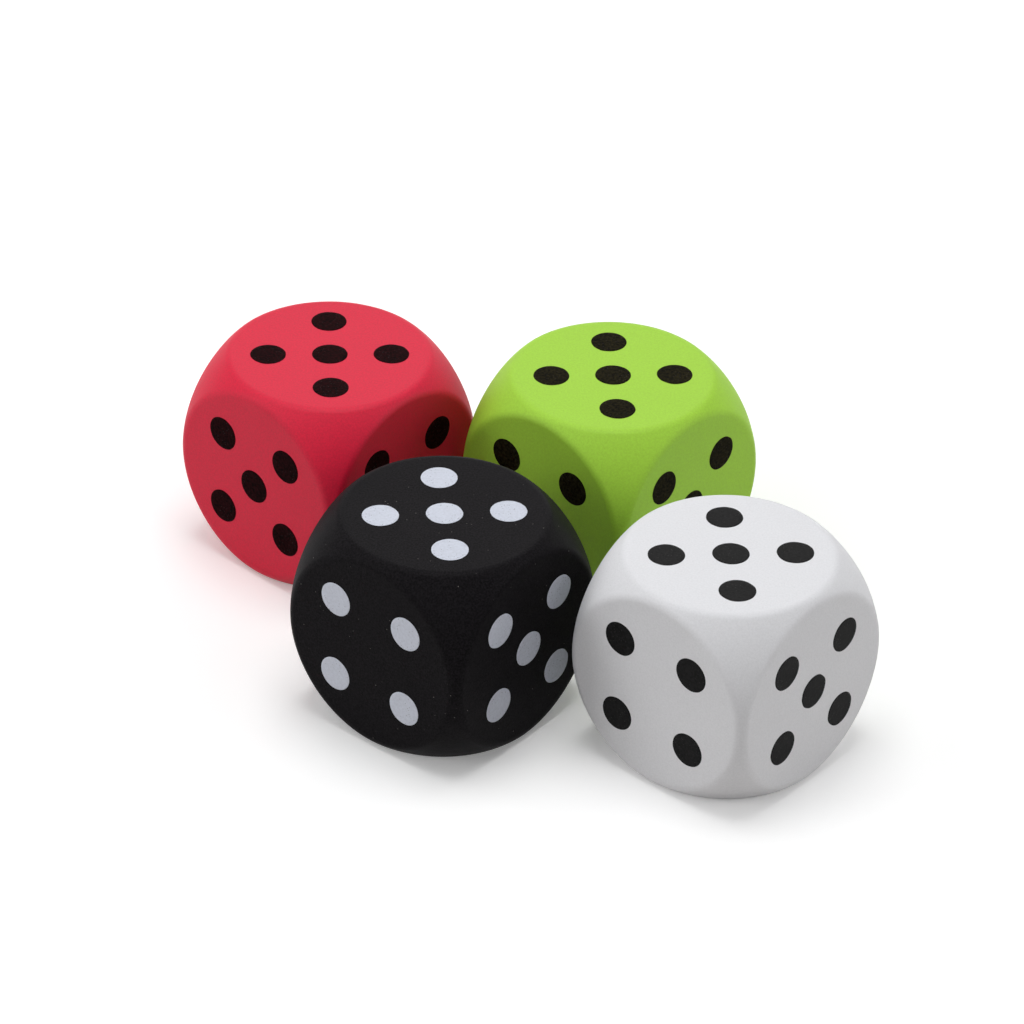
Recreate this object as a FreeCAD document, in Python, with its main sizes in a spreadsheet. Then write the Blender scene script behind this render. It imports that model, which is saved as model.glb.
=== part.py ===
"""Set of four giant foam yard dice.

Each die is a soft foam core inside a closed rubbery skin. Its form is a cube blended into a ball:
six round flat faces, a spherical surface between them and a rounded rim where they meet. The pips
are discs of ink that lie flush in shallow recesses of the skin, one group of discs to each face.

Millimetres and degrees. +Z is up, and the origin is on the ground under the middle of the set's box.
"""
import FreeCAD, Part
import math
import os
import Sketcher

SIZES = {
    # One die
    "edge": 160.0,  # across two opposite flat faces
    "rim_radius": 7.0,  # rounding between a flat face and the ball
    "edge_relief": 0.5,  # how far the ball lies inside a cube edge rounded by the rim radius
    "skin_thickness": 1.0,
    "bond_line": 0.1,  # glue between the core and the skin
    "pip_diameter": 26.4,
    "pip_depth": 0.2,  # how thick the ink is, and how deep its recess
    "pip_rim_margin": 13.5,  # flat skin left between a corner pip and the rim
    # How the set is laid out: two rows of two. A gap is between the balls of two dice, and is less
    # than nothing where their cut faces let them stand closer than whole balls would.
    "row_gap": -2.4,  # from the front row to the back row
    "row_stagger": 86.6,  # how far the front row stands to the right of the back row
    "back_gap": -9.9,
    "back_slant": 17.6,  # how much further back the left die stands than the right one
    "front_gap": -17.2,
    "front_slant": 40.4,
    # How far each die is turned about the vertical
    "black_turn": -38.7,
    "red_turn": -41.7,
    "green_turn": -41.0,
    "white_turn": -40.3,
}

# Derived sizes, as expressions on the sheet
RIM_PLANE = "(Sizes.edge / 2 - Sizes.rim_radius)"
BALL_RADIUS = f"(Sizes.rim_radius + sqrt(2) * {RIM_PLANE} - Sizes.edge_relief)"
FLAT_RADIUS = f"sqrt(({BALL_RADIUS} - Sizes.rim_radius)^2 - {RIM_PLANE}^2)"
PIP_OFFSET = f"(({FLAT_RADIUS} - Sizes.pip_rim_margin - Sizes.pip_diameter / 2) / sqrt(2))"
CORE_INSET = "(Sizes.skin_thickness + Sizes.bond_line)"

X_AXIS = FreeCAD.Vector(1, 0, 0)
Y_AXIS = FreeCAD.Vector(0, 1, 0)
Z_AXIS = FreeCAD.Vector(0, 0, 1)

# Outward direction of each face and the direction that is up on it, in the die's own axes
FACES = {
    "top": (Z_AXIS, Y_AXIS),
    "bottom": (-Z_AXIS, Y_AXIS),
    "front_left": (-Y_AXIS, Z_AXIS),
    "front_right": (X_AXIS, Z_AXIS),
    "rear_left": (-X_AXIS, Z_AXIS),
    "rear_right": (Y_AXIS, Z_AXIS),
}

# Where the pips of each number stand on a face, in steps of the pip offset
PIP_SPOTS = {
    1: ((0, 0),),
    2: ((-1, 1), (1, -1)),
    3: ((-1, 1), (0, 0), (1, -1)),
    4: ((-1, 1), (1, 1), (1, -1), (-1, -1)),
    5: ((-1, 1), (1, 1), (1, -1), (-1, -1), (0, 0)),
}

# Numbers on the faces. A die has two fives, next to each other, and no six.
FIVE_ON_THE_RIGHT = {
    "top": 5,
    "bottom": 2,
    "front_left": 4,
    "front_right": 5,
    "rear_left": 1,
    "rear_right": 3,
}
FIVE_ON_THE_LEFT = {
    "top": 5,
    "bottom": 2,
    "front_left": 5,
    "front_right": 4,
    "rear_left": 3,
    "rear_right": 1,
}
DICE = {
    "black": FIVE_ON_THE_RIGHT,
    "red": FIVE_ON_THE_LEFT,
    "green": FIVE_ON_THE_RIGHT,
    "white": FIVE_ON_THE_RIGHT,
}
ROWS = {"front": ("black", "white"), "back": ("red", "green")}  # left die, right die


def make_sheet(doc):
    """Write the driving dimensions into a spreadsheet, one alias to each."""
    sheet = doc.addObject("Spreadsheet::Sheet", "Sizes")
    for row, (alias, value) in enumerate(SIZES.items(), start=1):
        sheet.set(f"A{row}", alias)
        sheet.set(f"B{row}", str(value))
        sheet.setAlias(f"B{row}", alias)
    doc.recompute()
    return sheet


def new_sketch(body, role, name):
    """Add a sketch on one of the body's own origin planes."""
    plane = next(item for item in body.Origin.OriginFeatures if item.Role == role)
    sketch = body.newObject("Sketcher::SketchObject", name)
    sketch.AttachmentSupport = (plane, [""])
    sketch.MapMode = "FlatFace"
    return sketch


def bind(sketch, name, expression, *constraint):
    """Add a dimension to the sketch and tie it to an expression on the sheet."""
    index = sketch.addConstraint(Sketcher.Constraint(*constraint))
    sketch.renameConstraint(index, name)
    sketch.setExpression(f"Constraints.{name}", expression)


def join_corners(sketch, count):
    """Close a loop: the end of each line is the start of the next."""
    for line in range(count):
        following = (line + 1) % count
        sketch.addConstraint(Sketcher.Constraint("Coincident", line, 2, following, 1))


def draw_square(sketch, width, size):
    """Draw a square about the origin, whose side is the expression `width`."""
    half = size / 2
    corners = [(-half, -half), (half, -half), (half, half), (-half, half)]
    points = [FreeCAD.Vector(x, y, 0) for x, y in corners]
    for start, end in zip(points, points[1:] + points[:1]):
        sketch.addGeometry(Part.LineSegment(start, end), False)
    join_corners(sketch, 4)
    for line, direction in enumerate(("Horizontal", "Vertical") * 2):
        sketch.addConstraint(Sketcher.Constraint(direction, line))
    sketch.addConstraint(Sketcher.Constraint("Symmetric", 0, 1, 2, 1, -1, 1))
    bind(sketch, "width", width, "DistanceX", 0, 1, 0, 2, size)
    bind(sketch, "height", width, "DistanceY", 1, 1, 1, 2, size)


def draw_outside_of_ball(sketch, radius, reach, size):
    """Draw what lies outside a half circle: turned about the vertical, it trims a block to a ball."""
    centre = FreeCAD.Vector(0, 0, 0)
    circle = Part.Circle(centre, Z_AXIS, size)
    sketch.addGeometry(Part.ArcOfCircle(circle, -math.pi / 2, math.pi / 2), False)
    corners = [(0, size), (2 * size, size), (2 * size, -size), (0, -size)]
    points = [FreeCAD.Vector(x, y, 0) for x, y in corners]
    for start, end in zip(points, points[1:]):
        sketch.addGeometry(Part.LineSegment(start, end), False)
    join_corners(sketch, 4)
    for line, direction in ((1, "Horizontal"), (2, "Vertical"), (3, "Horizontal")):
        sketch.addConstraint(Sketcher.Constraint(direction, line))
    sketch.addConstraint(Sketcher.Constraint("Coincident", 0, 3, -1, 1))
    for end in (1, 2):
        sketch.addConstraint(Sketcher.Constraint("PointOnObject", 0, end, -2))
    bind(sketch, "radius", radius, "Radius", 0, size)
    bind(sketch, "reach", reach, "DistanceX", 1, 1, 1, 2, 2 * size)


def make_form(doc, name, inset):
    """Make the die's rounded form, the expression `inset` inside its outer surface."""
    body = doc.addObject("PartDesign::Body", name)
    size = SIZES["edge"] / 2
    width = f"Sizes.edge - 2 * {inset}"

    square = new_sketch(body, "XY_Plane", f"{name}_square")
    draw_square(square, width, size)
    block = body.newObject("PartDesign::Pad", f"{name}_block")
    block.Profile = square
    block.SideType = "Symmetric"
    block.setExpression("Length", width)

    outside = new_sketch(body, "XZ_Plane", f"{name}_outside")
    draw_outside_of_ball(outside, f"{BALL_RADIUS} - {inset}", "Sizes.edge", size)
    ball = body.newObject("PartDesign::Groove", f"{name}_ball")
    ball.Profile = outside
    ball.ReferenceAxis = (outside, ["V_Axis"])
    ball.Angle = 360

    rims = body.newObject("PartDesign::Fillet", f"{name}_rims")
    rims.Base = (ball, [])
    rims.UseAllEdges = True
    rims.setExpression("Radius", f"Sizes.rim_radius - {inset}")
    return body


def make_pips(doc, name, number):
    """Make the ink discs of one face, their printed side level with the top of a die."""
    body = doc.addObject("PartDesign::Body", name)
    body.AllowCompound = True
    sketch = new_sketch(body, "XY_Plane", f"{name}_discs")
    sketch.setExpression("AttachmentOffset.Base.z", "Sizes.edge / 2")
    step = SIZES["edge"] / 5
    for index, (across, up) in enumerate(PIP_SPOTS[number]):
        centre = FreeCAD.Vector(across * step, up * step, 0)
        sketch.addGeometry(Part.Circle(centre, Z_AXIS, step / 3), False)
        bind(sketch, f"size_{index}", "Sizes.pip_diameter", "Diameter", index, step)
        for axis, steps in (("X", across), ("Y", up)):
            place = (f"Distance{axis}", -1, 1, index, 3, steps * step)
            bind(sketch, f"place_{axis}_{index}", f"{steps} * {PIP_OFFSET}", *place)
    ink = body.newObject("PartDesign::Pad", f"{name}_ink")
    ink.Profile = sketch
    ink.Reversed = True
    ink.setExpression("Length", "Sizes.pip_depth")
    return body


def make_skin(doc, name, form, cavity, pips):
    """Cut the hollow for the core and a recess under every pip out of the outer form."""
    removed = doc.addObject("Part::Compound", f"{name}_removed")
    removed.Links = [cavity] + pips
    skin = doc.addObject("Part::Cut", name)
    skin.Base = form
    skin.Tool = removed
    return skin


def face_placement(outward, up):
    """Turn a face that was drawn on top of the die to where it belongs."""
    across = up.cross(outward)
    return FreeCAD.Placement(
        FreeCAD.Vector(0, 0, 0), FreeCAD.Rotation(across, up, outward, "ZYX")
    )


def make_die(doc, colour, numbers, placement):
    """Build one die and return its sub-parts: the core, the skin and six groups of pips."""
    form = make_form(doc, f"{colour}_outer_form", "0")
    cavity = make_form(doc, f"{colour}_cavity", "Sizes.skin_thickness")
    core = make_form(doc, f"{colour}_foam_core", CORE_INSET)
    for body in (form, cavity, core):
        body.Placement = placement
    pips = []
    for face, (outward, up) in FACES.items():
        group = make_pips(doc, f"{colour}_{face}_pips", numbers[face])
        group.Placement = placement * face_placement(outward, up)
        pips.append(group)
    skin = make_skin(doc, f"{colour}_skin", form, cavity, pips)
    return [core, skin] + pips


def ball_radius(sheet):
    """Radius of the ball that the cube is trimmed to."""
    rim_plane = sheet.edge / 2 - sheet.rim_radius
    return sheet.rim_radius + math.sqrt(2) * rim_plane - sheet.edge_relief


def reach_of_die(sheet, angle):
    """Distance from a die's middle to its outermost point in a level direction.

    The angle is measured from one of the side faces' outward directions.
    """
    angle = math.radians((angle + 45) % 90 - 45)
    ball = ball_radius(sheet) - sheet.rim_radius
    half = sheet.edge / 2 - sheet.rim_radius
    if ball * math.cos(angle) <= half:
        return sheet.rim_radius + ball
    flat = math.sqrt(ball**2 - half**2)
    return sheet.rim_radius + half * math.cos(angle) + flat * math.sin(abs(angle))


def stand_dice(sheet):
    """Return where the dice stand, measured from half-way between the rows."""
    ball = 2 * ball_radius(sheet)
    spots = {}
    for row, side in (("front", 1), ("back", -1)):
        left, right = ROWS[row]
        middle = FreeCAD.Vector(sheet.row_stagger, -(ball + sheet.row_gap), 0) * (side / 2)
        width = ball + getattr(sheet, f"{row}_gap")
        half_row = FreeCAD.Vector(width, -getattr(sheet, f"{row}_slant"), 0) / 2
        spots[left] = middle - half_row
        spots[right] = middle + half_row
    return spots


def lay_out_dice(sheet):
    """Return the placement of each die, with the middle of the set's box over the origin."""
    spots = stand_dice(sheet)
    turns = {colour: getattr(sheet, f"{colour}_turn") for colour in DICE}
    middle = FreeCAD.Vector(0, 0, 0)
    for axis, heading in (("x", 0), ("y", 90)):
        reach = {colour: reach_of_die(sheet, heading - turns[colour]) for colour in DICE}
        low = min(getattr(spots[colour], axis) - reach[colour] for colour in DICE)
        high = max(getattr(spots[colour], axis) + reach[colour] for colour in DICE)
        setattr(middle, axis, (low + high) / 2)
    lift = FreeCAD.Vector(0, 0, sheet.edge / 2)
    return {
        colour: FreeCAD.Placement(
            spots[colour] - middle + lift, FreeCAD.Rotation(Z_AXIS, turns[colour])
        )
        for colour in DICE
    }


def check(doc, parts):
    """Stop before anything is written if an object failed or a sub-part isn't sound."""
    for item in doc.Objects:
        if "Invalid" in item.State or "Error" in item.State:
            raise RuntimeError(f"{item.Name} failed: {item.State}")
    for part in parts:
        if part.Shape.isNull() or not part.Shape.isValid():
            raise RuntimeError(f"{part.Label} has no valid shape")


def check_skin(doc, colour):
    """Stop if the hollow or the recesses weren't cut out of a skin."""
    skin = doc.getObject(f"{colour}_skin")
    removed = sum(solid.Volume for solid in skin.Tool.Shape.Solids)
    if abs(skin.Base.Shape.Volume - removed - skin.Shape.Volume) > 1:
        raise RuntimeError(f"{skin.Label} isn't cut as it should be")


def check_pips(doc, colour, numbers):
    """Stop if a face doesn't have its number of pips."""
    for face, number in numbers.items():
        group = doc.getObject(f"{colour}_{face}_pips")
        if len(group.Shape.Solids) != number:
            raise RuntimeError(f"{group.Label} doesn't have {number} pips")


def main():
    doc = FreeCAD.newDocument("yard_dice")
    sheet = make_sheet(doc)
    parts = []
    for colour, placement in lay_out_dice(sheet).items():
        parts += make_die(doc, colour, DICE[colour], placement)
    doc.recompute()
    check(doc, parts)
    for colour, numbers in DICE.items():
        check_skin(doc, colour)
        check_pips(doc, colour, numbers)
    os.makedirs("parts", exist_ok=True)
    for part in parts:
        part.Shape.exportStep(f"parts/{part.Label}.step")
    print(f"{len(parts)} sub-parts, {sum(len(part.Shape.Solids) for part in parts)} solids")


main()
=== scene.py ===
"""Looks of the set of giant foam yard dice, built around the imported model.

Every die is made again at its place in the frame: a foam core, a soft skin drawn over a former, and
printed pips that follow the skin. Lengths are in metres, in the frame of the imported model.
"""
import logging
import math
from contextlib import contextmanager
from dataclasses import dataclass, field
from enum import Enum
from typing import Any, Iterator, Sequence, Union

import bpy
from mathutils import Euler, Matrix, Vector


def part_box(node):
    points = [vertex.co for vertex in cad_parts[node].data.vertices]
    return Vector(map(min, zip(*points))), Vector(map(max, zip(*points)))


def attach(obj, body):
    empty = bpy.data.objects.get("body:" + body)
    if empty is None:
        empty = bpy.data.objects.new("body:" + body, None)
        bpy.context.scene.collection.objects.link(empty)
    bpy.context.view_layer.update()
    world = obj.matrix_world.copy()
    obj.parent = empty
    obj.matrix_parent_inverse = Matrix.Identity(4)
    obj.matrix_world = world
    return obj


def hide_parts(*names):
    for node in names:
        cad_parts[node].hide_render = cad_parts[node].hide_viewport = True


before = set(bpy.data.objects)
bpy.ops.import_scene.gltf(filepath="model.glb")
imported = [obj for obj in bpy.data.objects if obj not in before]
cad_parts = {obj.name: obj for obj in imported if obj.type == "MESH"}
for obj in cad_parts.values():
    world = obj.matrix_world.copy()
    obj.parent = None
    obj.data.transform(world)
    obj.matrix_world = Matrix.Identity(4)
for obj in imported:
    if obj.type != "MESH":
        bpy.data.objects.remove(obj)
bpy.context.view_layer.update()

log = logging.getLogger("yard_dice")

MM = 0.001
BLACK = (0.0, 0.0, 0.0)
WHITE = (1.0, 1.0, 1.0)

# Sockets that Blender gives no name of their own.
FIRST_OUTPUT = 0
RANGE_VALUE, RANGE_LOW, RANGE_HIGH = 0, 1, 2
MIX_SHARE, MIX_FIRST, MIX_SECOND = 0, 6, 7
MIX_RESULT = 2
MIX_SHADER_SHARE, MIX_SHADER_FIRST, MIX_SHADER_SECOND = 0, 1, 2

# Value about which a cloudy pattern varies.
MIDDLE = 0.5

# Least cosine between a surface's normal and the direction that it counts as looking in.
FACING = 0.9


class Colour(Enum):
    """The colour of a die, which starts the names of its nodes."""

    BLACK = "black"
    RED = "red"
    GREEN = "green"
    WHITE = "white"


class Face(Enum):
    """A face of a die: its name in the frame, its outward and its upward direction on the die."""

    TOP = ("top", (0, 0, 1), (0, 1, 0))
    BOTTOM = ("bottom", (0, 0, -1), (0, 1, 0))
    FRONT_LEFT = ("front_left", (0, -1, 0), (0, 0, 1))
    FRONT_RIGHT = ("front_right", (1, 0, 0), (0, 0, 1))
    REAR_LEFT = ("rear_left", (-1, 0, 0), (0, 0, 1))
    REAR_RIGHT = ("rear_right", (0, 1, 0), (0, 0, 1))

    @property
    def title(self) -> str:
        """Name of the face, as in the names of its pips."""
        return self.value[0]

    @property
    def outward(self) -> Vector:
        """Direction that the face looks in, in the die's own axes."""
        return Vector(self.value[1])

    @property
    def upward(self) -> Vector:
        """Direction that is up on the face, in the die's own axes."""
        return Vector(self.value[2])


Number = Union[float, "Value"]


class Value:
    """A shader socket that adds Math nodes when it is used in an expression."""

    def __init__(self, graph: "Graph", socket: bpy.types.NodeSocket) -> None:
        """Wrap an output socket with a single number, which belongs to a node of this graph."""
        self.graph = graph
        self.socket = socket

    def _math(self, operation: str, *numbers: Number) -> "Value":
        """Add a Math node that works on these numbers."""
        settings = {"operation": operation}
        return self.graph.value("ShaderNodeMath", settings, dict(enumerate(numbers)))

    def __add__(self, other: Number) -> "Value":
        """Sum."""
        return self._math("ADD", self, other)

    def __radd__(self, other: Number) -> "Value":
        """Sum, with a plain number first."""
        return self._math("ADD", other, self)

    def __sub__(self, other: Number) -> "Value":
        """Difference."""
        return self._math("SUBTRACT", self, other)

    def __rsub__(self, other: Number) -> "Value":
        """Difference, with a plain number first."""
        return self._math("SUBTRACT", other, self)

    def __mul__(self, other: Number) -> "Value":
        """Product."""
        return self._math("MULTIPLY", self, other)

    def __rmul__(self, other: Number) -> "Value":
        """Product, with a plain number first."""
        return self._math("MULTIPLY", other, self)

    def above(self, edge: float, softness: float) -> "Value":
        """Rise from 0 to 1 as the value passes an edge.

        Args:
            edge: Value at which the result is a half.
            softness: Width of the rise.

        Returns:
            The risen value, between 0 and 1.
        """
        settings = {"interpolation_type": "SMOOTHSTEP"}
        inputs = {
            RANGE_VALUE: self,
            RANGE_LOW: edge - softness / 2,
            RANGE_HIGH: edge + softness / 2,
        }
        return self.graph.value("ShaderNodeMapRange", settings, inputs)


class Graph:
    """The node tree of one material or of the world, with the methods that build it."""

    def __init__(self, owner: Union[bpy.types.Material, bpy.types.World]) -> None:
        """Start with an empty tree.

        Args:
            owner: New material or world that the tree belongs to.
        """
        self.owner = owner
        owner.use_nodes = True
        self.tree = owner.node_tree
        self.tree.nodes.clear()

    def node(self, kind: str, settings: dict[str, Any], inputs: dict[Any, Any]) -> bpy.types.Node:
        """Add a node, set it up and fill its inputs.

        Args:
            kind: Type of the node, as Blender names it.
            settings: Properties of the node, set before its inputs.
            inputs: Sockets, by name or number, with a constant, a socket or a Value for each.

        Returns:
            The new node.
        """
        made = self.tree.nodes.new(kind)
        for key, setting in settings.items():
            setattr(made, key, setting)
        for key, given in inputs.items():
            source = given.socket if isinstance(given, Value) else given
            if isinstance(source, bpy.types.NodeSocket):
                self.tree.links.new(source, made.inputs[key])
            else:
                made.inputs[key].default_value = source
        return made

    def value(self, kind: str, settings: dict[str, Any], inputs: dict[Any, Any]) -> Value:
        """Add a node and return its first output as a Value."""
        return Value(self, self.node(kind, settings, inputs).outputs[FIRST_OUTPUT])

    def place(self) -> bpy.types.NodeSocket:
        """Return the point on the piece, in the frame's axes, in metres."""
        return self.node("ShaderNodeTexCoord", {}, {}).outputs["Object"]

    def distance(self) -> Value:
        """Return the distance from the middle of the model, in metres."""
        length = self.node("ShaderNodeVectorMath", {"operation": "LENGTH"}, {0: self.place()})
        return Value(self, length.outputs["Value"])

    def seen(self) -> Value:
        """Tell the rays that see a surface from those that only light it.

        Returns:
            1 for a ray from the camera or from a gloss or a glass, and 0 for any other.
        """
        path = self.node("ShaderNodeLightPath", {}, {})
        rays = ("Is Camera Ray", "Is Glossy Ray", "Is Transmission Ray")
        camera, glossy, through = (Value(self, path.outputs[ray]) for ray in rays)
        return (camera + glossy + through).above(MIDDLE, MIDDLE)

    def noise(self, size: float, detail: float = 2.0, shift: float = 0.0) -> Value:
        """Add a cloudy pattern.

        Args:
            size: Width of a cloud, in metres.
            detail: How many finer layers lie over it.
            shift: Offset that makes two patterns of one size differ.

        Returns:
            A value about a half.
        """
        mapping = {"Vector": self.place(), "Location": (shift, shift, shift)}
        moved = self.node("ShaderNodeMapping", {}, mapping).outputs[FIRST_OUTPUT]
        return self.value(
            "ShaderNodeTexNoise", {}, {"Vector": moved, "Scale": 1 / size, "Detail": detail}
        )

    def cells(self, size: float) -> Value:
        """Add a pattern of cells and return the distance from the middle of each one."""
        inputs = {"Vector": self.place(), "Scale": 1 / size}
        return self.value("ShaderNodeTexVoronoi", {"feature": "F1"}, inputs)

    def blend(self, share: Number, first: Any, second: Any) -> bpy.types.NodeSocket:
        """Mix two colours, given as numbers or sockets, by a share from 0 to 1 of the second."""
        inputs = {MIX_SHARE: share, MIX_FIRST: as_colour(first), MIX_SECOND: as_colour(second)}
        return self.node("ShaderNodeMix", {"data_type": "RGBA"}, inputs).outputs[MIX_RESULT]

    def bump(self, height: Value, depth: float) -> bpy.types.NodeSocket:
        """Turn a height pattern from 0 to 1 into a normal, for a relief this deep, in metres."""
        inputs = {"Height": height, "Distance": depth, "Strength": 1.0}
        return self.node("ShaderNodeBump", {}, inputs).outputs[FIRST_OUTPUT]

    def finish(self, shader: dict[str, Any]) -> bpy.types.Material:
        """Add the surface shader and its output.

        Args:
            shader: Inputs of the Principled shader.

        Returns:
            The finished material.
        """
        surface = self.node("ShaderNodeBsdfPrincipled", {}, shader).outputs[FIRST_OUTPUT]
        self.node("ShaderNodeOutputMaterial", {}, {"Surface": surface})
        return self.owner


def as_colour(given: Any) -> Any:
    """Give a plain colour its fourth number, and pass a socket on."""
    return given if isinstance(given, bpy.types.NodeSocket) else (*given, 1.0)


def scaled(colour: Sequence[float], factor: float) -> tuple[float, ...]:
    """Return a colour made lighter or darker."""
    return tuple(channel * factor for channel in colour)


@dataclass(frozen=True)
class SkinFinish:
    """Matte, fine-grained rubbery skin."""

    name: str
    colour: tuple[float, float, float]
    roughness: float = 0.56
    specular: float = 0.2
    cloud_size: float = 45 * MM
    cloud_tone: float = 0.3
    grain_size: float = 1.4 * MM
    grain_depth: float = 0.12 * MM
    grain_tone: float = 3.0
    grain_rise: float = 0.55
    grain_roughness: float = 0.16
    fine_size: float = 0.56 * MM
    fine_shift: float = 1.7
    fine_tone: float = 1.5
    fine_rise: float = 0.35
    pore_size: float = 2.6 * MM
    pore_edge: float = 0.16
    pore_softness: float = 0.12
    # Painted shade in the pores: how much of it shows, and how dark it makes the skin.
    pore_show: float = 0.10
    pore_painted_shade: float = 0.55
    pore_fall: float = 0.35
    pore_roughness: float = 0.08
    mottle: float = 0.09
    dust: float = 0.0
    dust_colour: tuple[float, float, float] = (0.30, 0.28, 0.26)
    dust_spacing: float = 6.5 * MM
    dust_edge: float = 0.06
    dust_softness: float = 0.03
    patch_size: float = 30 * MM
    patch_shift: float = 4.1
    patch_edge: float = 0.52
    patch_softness: float = 0.2

    def material(self) -> bpy.types.Material:
        """Build the material: cloudy colour, fine mottle, pores darkened with painted shade, grain
        and specks of dust.

        Returns:
            The finished material.
        """
        graph = Graph(bpy.data.materials.new(self.name))
        clouds = graph.noise(self.cloud_size)
        grain = graph.noise(self.grain_size, detail=3.0)
        fine = graph.noise(self.fine_size, shift=self.fine_shift)
        pores = 1.0 - graph.cells(self.pore_size).above(self.pore_edge, self.pore_softness)
        tone = MIDDLE + (clouds - MIDDLE) * self.cloud_tone
        tone = tone + (grain - MIDDLE) * self.grain_tone + (fine - MIDDLE) * self.fine_tone
        dark = scaled(self.colour, 1 - self.mottle)
        light = scaled(self.colour, 1 + self.mottle)
        colour = graph.blend(tone, dark, light)
        # Painted shade: the pores are darkened to stand in for the shade that falls into them.
        hollow = scaled(self.colour, self.pore_painted_shade)
        colour = graph.blend(pores * self.pore_show, colour, hollow)
        if self.dust > 0:
            specks = self.specks(graph)
            colour = graph.blend(specks * self.dust, colour, self.dust_colour)
        height = grain * self.grain_rise + fine * self.fine_rise - pores * self.pore_fall
        uneven = (grain - MIDDLE) * self.grain_roughness
        return graph.finish(
            {
                "Base Color": colour,
                "Roughness": self.roughness + uneven + pores * self.pore_roughness,
                "Specular IOR Level": self.specular,
                "Normal": graph.bump(height, self.grain_depth),
            }
        )

    def specks(self, graph: Graph) -> Value:
        """Scatter specks of dust over some patches of the skin.

        Args:
            graph: Graph of the skin's material.

        Returns:
            1 in the middle of a speck and 0 on the clean skin.
        """
        patches = graph.noise(self.patch_size, shift=self.patch_shift)
        patches = patches.above(self.patch_edge, self.patch_softness)
        clean = graph.cells(self.dust_spacing).above(self.dust_edge, self.dust_softness)
        return (1.0 - clean) * patches


@dataclass(frozen=True)
class InkFinish:
    """Printed ink that lies over the grain of the skin."""

    name: str
    colour: tuple[float, float, float]
    flaw_colour: tuple[float, float, float] = (0.045, 0.042, 0.042)
    slot: str = "black_ink"
    roughness: float = 0.56
    specular: float = 0.15
    grain_size: float = 1.9 * MM
    grain_depth: float = 0.16 * MM
    grain_tone: float = 3.0
    grain_rise: float = 0.8
    grain_roughness: float = 0.2
    cloud_size: float = 9 * MM
    cloud_shift: float = 2.3
    cloud_tone: float = 0.7
    mottle: float = 0.9
    darkest: float = 0.1
    flaws: float = 0.7
    hole_spacing: float = 2.2 * MM
    hole_edge: float = 0.16
    hole_softness: float = 0.08
    hole_fall: float = 0.5
    hole_roughness: float = 0.1
    patch_size: float = 14 * MM
    patch_shift: float = 5.5
    patch_edge: float = 0.45
    patch_softness: float = 0.12

    def material(self) -> bpy.types.Material:
        """Build the material: uneven ink with pinholes where it missed the grain.

        Returns:
            The finished material.
        """
        graph = Graph(bpy.data.materials.new(self.name))
        grain = graph.noise(self.grain_size, detail=3.0)
        clouds = graph.noise(self.cloud_size, shift=self.cloud_shift)
        tone = MIDDLE + (clouds - MIDDLE) * self.cloud_tone + (grain - MIDDLE) * self.grain_tone
        dark = scaled(self.colour, max(1 - self.mottle, self.darkest))
        light = scaled(self.colour, 1 + self.mottle)
        patches = graph.noise(self.patch_size, shift=self.patch_shift)
        patches = patches.above(self.patch_edge, self.patch_softness)
        covered = graph.cells(self.hole_spacing).above(self.hole_edge, self.hole_softness)
        holes = (1.0 - covered) * patches
        colour = graph.blend(holes * self.flaws, graph.blend(tone, dark, light), self.flaw_colour)
        uneven = (grain - MIDDLE) * self.grain_roughness
        height = grain * self.grain_rise - holes * self.hole_fall
        return graph.finish(
            {
                "Base Color": colour,
                "Roughness": self.roughness + uneven + holes * self.hole_roughness,
                "Specular IOR Level": self.specular,
                "Normal": graph.bump(height, self.grain_depth),
            }
        )


@dataclass(frozen=True)
class FoamFinish:
    """Open cells of the foam block under the skin."""

    name: str
    colour: tuple[float, float, float] = (0.62, 0.58, 0.47)
    # Painted shade in the cell hollows: how dark it is and how much of it shows.
    hollow_painted_shade: float = 0.45
    hollow_show: float = 0.6
    roughness: float = 0.9
    specular: float = 0.2
    cell_size: float = 1.6 * MM
    cell_depth: float = 0.5 * MM
    cell_edge: float = 0.42
    cell_softness: float = 0.35
    cloud_size: float = 25 * MM
    cloud_tone: float = 0.3
    cloud_gloss: float = 0.1

    def material(self) -> bpy.types.Material:
        """Build the material: pale cell walls round hollows darkened with painted shade.

        Returns:
            The finished material.
        """
        graph = Graph(bpy.data.materials.new(self.name))
        hollow = 1.0 - graph.cells(self.cell_size).above(self.cell_edge, self.cell_softness)
        clouds = graph.noise(self.cloud_size)
        # Painted shade darkens the hollows, and the clouds add a random tone over it.
        shade = hollow * self.hollow_show + (clouds - MIDDLE) * self.cloud_tone
        dark = scaled(self.colour, self.hollow_painted_shade)
        return graph.finish(
            {
                "Base Color": graph.blend(shade, self.colour, dark),
                "Roughness": self.roughness - clouds * self.cloud_gloss,
                "Specular IOR Level": self.specular,
                "Normal": graph.bump(1.0 - hollow, self.cell_depth),
            }
        )


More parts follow.
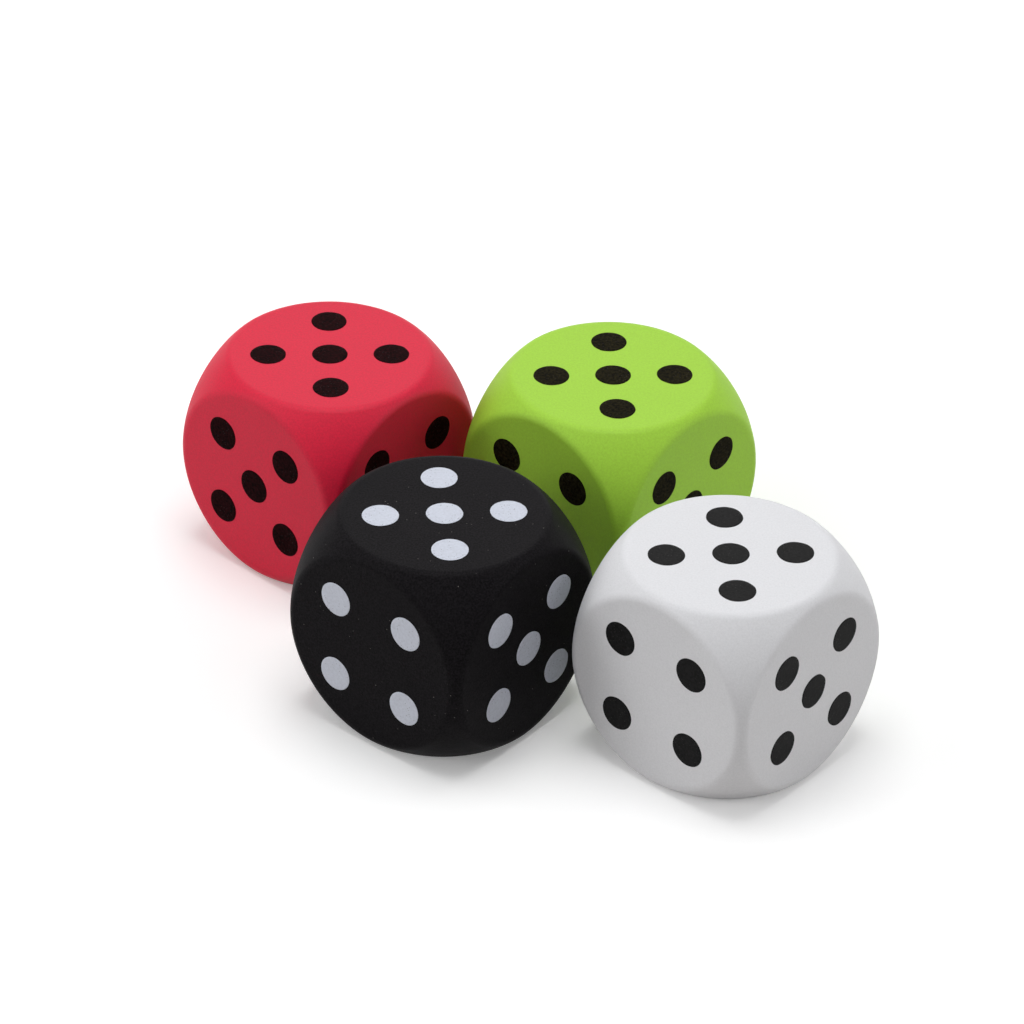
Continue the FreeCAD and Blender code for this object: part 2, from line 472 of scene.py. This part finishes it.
@dataclass(frozen=True)
class FloorFinish:
    """Plain pale studio floor that looks white and throws back a softer light."""

    name: str = "studio_floor"
    colour: tuple[float, float, float] = (0.72, 0.70, 0.68)
    seen_colour: tuple[float, float, float] = (0.95, 0.95, 0.95)
    seen_glow: float = 0.20
    lit_radius: float = 1.5
    lit_softness: float = 1.4
    cloud_size: float = 0.4
    mottle: float = 0.01
    roughness: float = 0.9
    specular: float = 0.1

    def material(self) -> bpy.types.Material:
        """Build the material: an even tone, whiter where it is seen or mirrored.

        Far from the dice, where no lamp reaches, the floor glows white by itself.

        Returns:
            The finished material.
        """
        graph = Graph(bpy.data.materials.new(self.name))
        dark = scaled(self.colour, 1 - self.mottle)
        light = scaled(self.colour, 1 + self.mottle)
        colour = graph.blend(graph.noise(self.cloud_size), dark, light)
        seen = graph.seen()
        unlit = graph.distance().above(self.lit_radius, self.lit_softness)
        glow = graph.blend(unlit, scaled(WHITE, self.seen_glow), WHITE)
        return graph.finish(
            {
                "Base Color": graph.blend(seen, colour, self.seen_colour),
                "Roughness": self.roughness,
                "Specular IOR Level": self.specular,
                "Emission Color": graph.blend(seen, BLACK, glow),
                "Emission Strength": 1.0,
            }
        )


def select_only(piece: bpy.types.Object) -> None:
    """Make one object the only selected and the active one.

    Args:
        piece: The object.
    """
    bpy.ops.object.select_all(action="DESELECT")
    piece.select_set(True)
    bpy.context.view_layer.objects.active = piece


@contextmanager
def editing(piece: bpy.types.Object) -> Iterator[None]:
    """Work on the mesh of one object in edit mode, with all of it selected.

    Args:
        piece: The object.

    Yields:
        Nothing, while the object is in edit mode.
    """
    select_only(piece)
    bpy.ops.object.mode_set(mode="EDIT")
    bpy.ops.mesh.select_all(action="SELECT")
    yield
    bpy.ops.object.mode_set(mode="OBJECT")


def apply_modifier(piece: bpy.types.Object, kind: str, **settings: Any) -> None:
    """Add a modifier with these settings and apply it.

    Args:
        piece: Object that is shaped.
        kind: Type of the modifier.
        **settings: Properties of the modifier.
    """
    select_only(piece)
    modifier = piece.modifiers.new(kind.lower(), kind)
    for key, setting in settings.items():
        setattr(modifier, key, setting)
    bpy.ops.object.modifier_apply(modifier=modifier.name)


def settle(piece: bpy.types.Object, name: str) -> bpy.types.Object:
    """Name a piece and move its place into its mesh.

    Args:
        piece: The object.
        name: Its new name.

    Returns:
        The same object, at the origin and unturned.
    """
    select_only(piece)
    bpy.ops.object.transform_apply(location=True, rotation=True, scale=True)
    piece.name = name
    piece.data.name = name
    return piece


def unevenness(name: str, size: float) -> bpy.types.Texture:
    """Make the cloudy pattern that surfaces are pushed about by.

    Args:
        name: Name of the pattern.
        size: Width of its clouds, in metres.

    Returns:
        The pattern.
    """
    pattern = bpy.data.textures.new(name, "CLOUDS")
    pattern.noise_scale = size
    pattern.noise_depth = 1
    return pattern


@dataclass
class Die:
    """One die: its place and sizes, its pieces and their finishes."""

    colour: Colour
    skin_finish: SkinFinish
    ink_finish: InkFinish
    rim_radius: float = 8.4 * MM
    skin_thickness: float = 1.0 * MM
    bond_line: float = 0.1 * MM
    ink_rise: float = 0.10 * MM
    ink_thickness: float = 0.20 * MM
    ink_wander: float = 0.5 * MM
    ink_wander_size: float = 9 * MM
    ink_bevel: float = 0.05 * MM
    sag: float = 0.25 * MM
    sag_size: float = 48 * MM
    former_segments: int = 240
    skin_cuts: int = 119
    lining_cuts: int = 31
    disc_sides: int = 80
    disc_rings: int = 5
    disc_ring_share: float = 0.16
    smooth_angle: float = 40.0
    pieces: list[bpy.types.Object] = field(default_factory=list)
    centre: Vector = field(init=False)
    half: float = field(init=False)
    turn: float = field(init=False)
    pip_radius: float = field(init=False)
    pip_step: float = field(init=False)
    outside: bpy.types.Object = field(init=False)
    ink_material: bpy.types.Material = field(init=False)

    def __post_init__(self) -> None:
        """Read the die's place and its measured sizes from the frame."""
        low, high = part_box(self.node("skin"))
        self.centre = (low + high) / 2
        self.half = (high.z - low.z) / 2
        facing = self.middle_of(Face.FRONT_RIGHT) - self.centre
        self.turn = math.atan2(facing.y, facing.x)
        low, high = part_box(self.node(f"{self.single_face().title}_pips"))
        self.pip_radius = (high.z - low.z) / 2
        low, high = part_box(self.node(f"{Face.FRONT_RIGHT.title}_pips"))
        self.pip_step = (high.z - low.z) / 2 - self.pip_radius

    def node(self, part: str) -> str:
        """Name of one of the die's nodes in the frame."""
        return f"{self.colour.value}_{part}"

    def middle_of(self, face: Face) -> Vector:
        """Middle of the box round the pips of a face."""
        low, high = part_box(self.node(f"{face.title}_pips"))
        return (low + high) / 2

    def single_face(self) -> Face:
        """Face with a single pip, whose pips have the lowest box."""
        sides = (Face.REAR_LEFT, Face.REAR_RIGHT)
        return min(sides, key=self.height_of)

    def height_of(self, face: Face) -> float:
        """Height of the box round the pips of a face."""
        low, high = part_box(self.node(f"{face.title}_pips"))
        return high.z - low.z

    @property
    def ball_radius(self) -> float:
        """Radius of the ball that the cube is blended into, which just meets its rolled edges."""
        return self.rim_radius + math.sqrt(2) * (self.half - self.rim_radius)

    def axes(self) -> Matrix:
        """Turn from the die's own axes to the frame's."""
        return Matrix.Rotation(self.turn, 3, "Z")

    def build_former(self) -> bpy.types.Object:
        """Make the sharp-edged block that lies one rim radius inside the die's surface.

        Returns:
            A ball with six flats cut on it.
        """
        bpy.ops.mesh.primitive_uv_sphere_add(
            segments=self.former_segments,
            ring_count=self.former_segments // 2,
            radius=self.ball_radius - self.rim_radius,
            location=self.centre,
            rotation=(0, 0, self.turn),
        )
        former = bpy.context.object
        with editing(former):
            for face in Face:
                outward = self.axes() @ face.outward
                bpy.ops.mesh.select_all(action="SELECT")
                bpy.ops.mesh.bisect(
                    plane_co=self.centre + outward * (self.half - self.rim_radius),
                    plane_no=outward,
                    use_fill=True,
                    clear_outer=True,
                )
        return former

    def cover(self, former: bpy.types.Object, cuts: int, offset: float) -> bpy.types.Object:
        """Draw a closed net of quads over the former, at an even distance from it.

        Args:
            former: Block to be covered.
            cuts: How often each side of the starting cube is cut.
            offset: Distance between the former and the net.

        Returns:
            The covering surface.
        """
        bpy.ops.mesh.primitive_cube_add(
            size=2 * self.half, location=self.centre, rotation=(0, 0, self.turn)
        )
        net = bpy.context.object
        with editing(net):
            bpy.ops.mesh.subdivide(number_cuts=cuts)
        apply_modifier(net, "CAST", cast_type="SPHERE", factor=1.0, radius=self.ball_radius)
        apply_modifier(
            net,
            "SHRINKWRAP",
            target=former,
            wrap_method="NEAREST_SURFACEPOINT",
            wrap_mode="ON_SURFACE",
            offset=offset,
        )
        return net

    def build_skin(self, former: bpy.types.Object) -> bpy.types.Object:
        """Make the skin as a closed shell with the slight unevenness of a soft body.

        Args:
            former: Block that the skin is drawn over.

        Returns:
            The skin, which replaces the one in the frame.
        """
        skin = self.cover(former, self.skin_cuts, self.rim_radius - self.ink_rise)
        skin = settle(skin, self.node("soft_skin"))
        apply_modifier(
            skin,
            "DISPLACE",
            texture=unevenness(self.node("sag"), self.sag_size),
            texture_coords="GLOBAL",
            direction="NORMAL",
            mid_level=0.0,
            strength=-self.sag,
        )
        self.outside = skin.copy()
        self.outside.data = skin.data.copy()
        bpy.context.collection.objects.link(self.outside)
        depth = self.ink_rise + self.sag + self.skin_thickness
        lining = self.cover(former, self.lining_cuts, self.rim_radius - depth)
        with editing(lining):
            bpy.ops.mesh.flip_normals()
        select_only(skin)
        lining.select_set(True)
        bpy.ops.object.join()
        bpy.ops.object.shade_smooth()
        self.claim(skin, "skin", self.skin_finish.material())
        return skin

    def build_core(self, former: bpy.types.Object) -> bpy.types.Object:
        """Make the foam block that fills the skin.

        Args:
            former: Block that the foam's surface is drawn over.

        Returns:
            The foam core, which replaces the one in the frame.
        """
        depth = self.ink_rise + self.sag + self.skin_thickness + self.bond_line
        core = self.cover(former, self.lining_cuts, self.rim_radius - depth)
        core = settle(core, self.node("foam"))
        select_only(core)
        bpy.ops.object.shade_smooth()
        self.claim(core, "foam_core", FoamFinish(self.node("foam_cells")).material())
        return core

    def spots(self, face: Face) -> list[tuple[int, int]]:
        """Work out where the pips of a face stand, in steps from its middle.

        Args:
            face: Face that is printed.

        Returns:
            Steps across and up for each pip.
        """
        count = self.count_pips(face)
        corners = [(-1, 1), (1, 1), (1, -1), (-1, -1)]
        diagonal = [(-1, 1), (1, -1)]
        middle = [(0, 0)] if count % 2 else []
        return middle + (corners if count >= 4 else diagonal if count >= 2 else [])

    def count_pips(self, face: Face) -> int:
        """Count the separate discs of a face's node in the frame.

        Args:
            face: Face that is looked at.

        Returns:
            The outer area of the node, in whole discs.
        """
        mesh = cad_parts[self.node(f"{face.title}_pips")].data
        disc = math.pi * self.pip_radius**2
        outward = self.axes() @ face.outward
        printed = sum(p.area for p in mesh.polygons if p.normal.dot(outward) > FACING)
        return round(printed / disc)

    def build_pips(self, face: Face) -> bpy.types.Object:
        """Print the pips of one face on the skin.

        Args:
            face: Face that is printed.

        Returns:
            The discs of ink, as one piece.
        """
        across = face.upward.cross(face.outward)
        turn = Matrix((across, face.upward, face.outward)).transposed()
        facing = (self.axes() @ turn).to_euler()
        discs = []
        for step_across, step_up in self.spots(face):
            on_face = (across * step_across + face.upward * step_up) * self.pip_step
            spot = self.centre + self.axes() @ (on_face + face.outward * self.half)
            discs.append(self.build_disc(spot, facing))
        bpy.ops.object.select_all(action="DESELECT")
        for disc in discs:
            disc.select_set(True)
        bpy.context.view_layer.objects.active = discs[0]
        if len(discs) > 1:
            bpy.ops.object.join()
        ink = settle(bpy.context.object, self.node(f"{face.title}_ink"))
        apply_modifier(
            ink,
            "DISPLACE",
            texture=unevenness(f"{ink.name}_edge", self.ink_wander_size),
            texture_coords="GLOBAL",
            direction="RGB_TO_XYZ",
            mid_level=MIDDLE,
            strength=self.ink_wander,
        )
        apply_modifier(
            ink,
            "SHRINKWRAP",
            target=self.outside,
            wrap_method="NEAREST_SURFACEPOINT",
            wrap_mode="ABOVE_SURFACE",
            offset=self.ink_rise,
        )
        apply_modifier(ink, "SOLIDIFY", thickness=self.ink_thickness, offset=-1.0)
        apply_modifier(ink, "BEVEL", width=self.ink_bevel, segments=2, limit_method="ANGLE")
        bpy.ops.object.shade_smooth_by_angle(angle=math.radians(self.smooth_angle))
        self.claim(ink, f"{face.title}_pips", self.ink_material)
        return ink

    def build_disc(self, spot: Vector, facing: Euler) -> bpy.types.Object:
        """Make the flat disc of one pip, with rings that let it bend.

        Args:
            spot: Middle of the pip.
            facing: Turn of the pip's face.

        Returns:
            The disc.
        """
        bpy.ops.mesh.primitive_circle_add(
            vertices=self.disc_sides,
            radius=self.pip_radius,
            fill_type="NGON",
            location=spot,
            rotation=facing,
        )
        disc = bpy.context.object
        with editing(disc):
            for _ in range(self.disc_rings):
                bpy.ops.mesh.inset(thickness=self.pip_radius * self.disc_ring_share, depth=0)
            bpy.ops.mesh.poke()
        return disc

    def claim(
        self, piece: bpy.types.Object, part: str, material: bpy.types.Material
    ) -> None:
        """Dress a piece and let it stand for its node in the frame.

        Args:
            piece: Finished piece.
            part: Node that it stands for, without the colour.
            material: Its finish.
        """
        piece.data.materials.clear()
        piece.data.materials.append(material)
        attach(piece, f"{self.colour.value}_die")
        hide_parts(self.node(part))
        self.pieces.append(piece)
        log.info("%s: %d faces", piece.name, len(piece.data.polygons))

    def build(self) -> None:
        """Build every piece of the die."""
        self.ink_material = self.ink_finish.material()
        former = self.build_former()
        self.build_skin(former)
        self.build_core(former)
        for face in Face:
            self.build_pips(face)
        bpy.data.objects.remove(self.outside)
        bpy.data.objects.remove(former)


class Lamp(Enum):
    """A lamp of the studio: its place, the length of its side, and its power in watts."""

    TOP = ((0.0, 0.0, 2.6), 1.4, 33.0)
    TOP_LEFT = ((-1.7, 0.1, 2.1), 1.6, 12.0)
    TOP_RIGHT = ((1.7, 0.1, 2.1), 1.6, 6.0)
    SIDE_LEFT = ((-3.4, -0.9, 1.2), 1.5, 30.0)
    SIDE_RIGHT = ((3.3, -0.7, 1.1), 1.6, 27.0)
    FRONT = ((0.0, -2.6, 0.9), 2.0, 3.0)
    FRONT_TOP_LEFT = ((-1.5, -1.5, 2.0), 1.4, 5.5)
    BACK = ((0.0, 2.7, 1.9), 3.0, 25.0)


@dataclass
class Studio:
    """Floor, light and camera."""

    target: tuple[float, float, float] = (-0.0082, 0.1579, 0.0)
    distance: float = 4.163
    elevation: float = 34.04
    roll: float = 1.63
    lens: float = 192.26
    sensor: float = 36.0
    sight: float = 100.0
    floor_size: float = 12.0
    world_level: float = 0.06
    backdrop_level: float = 1.0
    aim: tuple[float, float, float] = (0.0, 0.0, 0.08)

    def build(self) -> None:
        """Build the whole studio."""
        self.build_floor()
        self.build_world()
        self.build_camera()
        for lamp in Lamp:
            self.build_lamp(lamp)

    def build_floor(self) -> None:
        """Lay the floor under the dice."""
        bpy.ops.mesh.primitive_plane_add(size=self.floor_size, location=(0, 0, 0))
        floor = settle(bpy.context.object, "floor")
        floor.data.materials.append(FloorFinish().material())

    def build_world(self) -> None:
        """Set the even light of the room, and the white that is seen or mirrored past the floor."""
        bpy.context.scene.world = bpy.data.worlds.new("studio")
        graph = Graph(bpy.context.scene.world)
        room, backdrop = (
            graph.node("ShaderNodeBackground", {}, {"Color": as_colour(WHITE), "Strength": level})
            for level in (self.world_level, self.backdrop_level)
        )
        inputs = {
            MIX_SHADER_SHARE: graph.seen(),
            MIX_SHADER_FIRST: room.outputs[FIRST_OUTPUT],
            MIX_SHADER_SECOND: backdrop.outputs[FIRST_OUTPUT],
        }
        sky = graph.node("ShaderNodeMixShader", {}, inputs).outputs[FIRST_OUTPUT]
        graph.node("ShaderNodeOutputWorld", {}, {"Surface": sky})

    def build_camera(self) -> None:
        """Stand the camera in front, looking down at the dice."""
        camera = bpy.data.objects.new("camera", bpy.data.cameras.new("camera"))
        bpy.context.collection.objects.link(camera)
        camera.data.lens = self.lens
        camera.data.sensor_width = self.sensor
        camera.data.clip_end = self.sight
        tilt = Matrix.Rotation(math.radians(90 - self.elevation), 4, "X")
        roll = Matrix.Rotation(math.radians(self.roll), 4, "Z")
        back = tilt @ Vector((0, 0, self.distance))
        camera.matrix_world = Matrix.Translation(Vector(self.target) + back) @ tilt @ roll
        bpy.context.scene.camera = camera

    def build_lamp(self, lamp: Lamp) -> None:
        """Hang a soft square lamp that shines at the dice.

        Args:
            lamp: The lamp.
        """
        place, size, power = lamp.value
        light = bpy.data.objects.new(lamp.name.lower(), bpy.data.lights.new(lamp.name, "AREA"))
        bpy.context.collection.objects.link(light)
        light.data.shape = "SQUARE"
        light.data.size = size
        light.data.energy = power
        light.location = place
        light.visible_camera = False
        towards = Vector(self.aim) - Vector(place)
        light.rotation_mode = "QUATERNION"
        light.rotation_quaternion = towards.to_track_quat("-Z", "Y")


DICE: dict[Colour, tuple[SkinFinish, InkFinish]] = {
    Colour.BLACK: (
        SkinFinish(
            "black_skin",
            (0.0086, 0.0078, 0.0089),
            roughness=0.42,
            specular=0.02,
            grain_depth=0.15 * MM,
            mottle=0.45,
            dust=0.45,
        ),
        InkFinish(
            "white_ink",
            (0.595, 0.625, 0.71),
            flaw_colour=(0.08, 0.08, 0.09),
            slot="white_ink",
            mottle=0.05,
            flaws=0.6,
        ),
    ),
    Colour.RED: (
        SkinFinish("red_skin", (0.645, 0.008, 0.040), specular=0.31),
        InkFinish("black_ink_on_red", (0.0103, 0.0015, 0.0020), specular=0.012),
    ),
    Colour.GREEN: (
        SkinFinish("green_skin", (0.350, 0.625, 0.050), specular=0.25, mottle=0.06),
        InkFinish("black_ink_on_green", (0.0095, 0.0080, 0.0030), specular=0.015),
    ),
    Colour.WHITE: (
        SkinFinish("white_skin", (0.760, 0.763, 0.787), specular=0.1, mottle=0.03),
        InkFinish("black_ink_on_white", (0.0045, 0.0043, 0.0044), specular=0.072),
    ),
}


def main() -> None:
    """Build the dice and the studio, and note how large the visual model is."""
    logging.basicConfig(level=logging.INFO, format="%(name)s: %(message)s")
    bpy.context.scene.view_settings.view_transform = "Standard"
    Studio().build()
    for colour in Colour:
        die = Die(colour, *DICE[colour])
        die.build()
        log.info("%s die: %d pieces", colour.value, len(die.pieces))


if __name__ == "__main__":
    main()
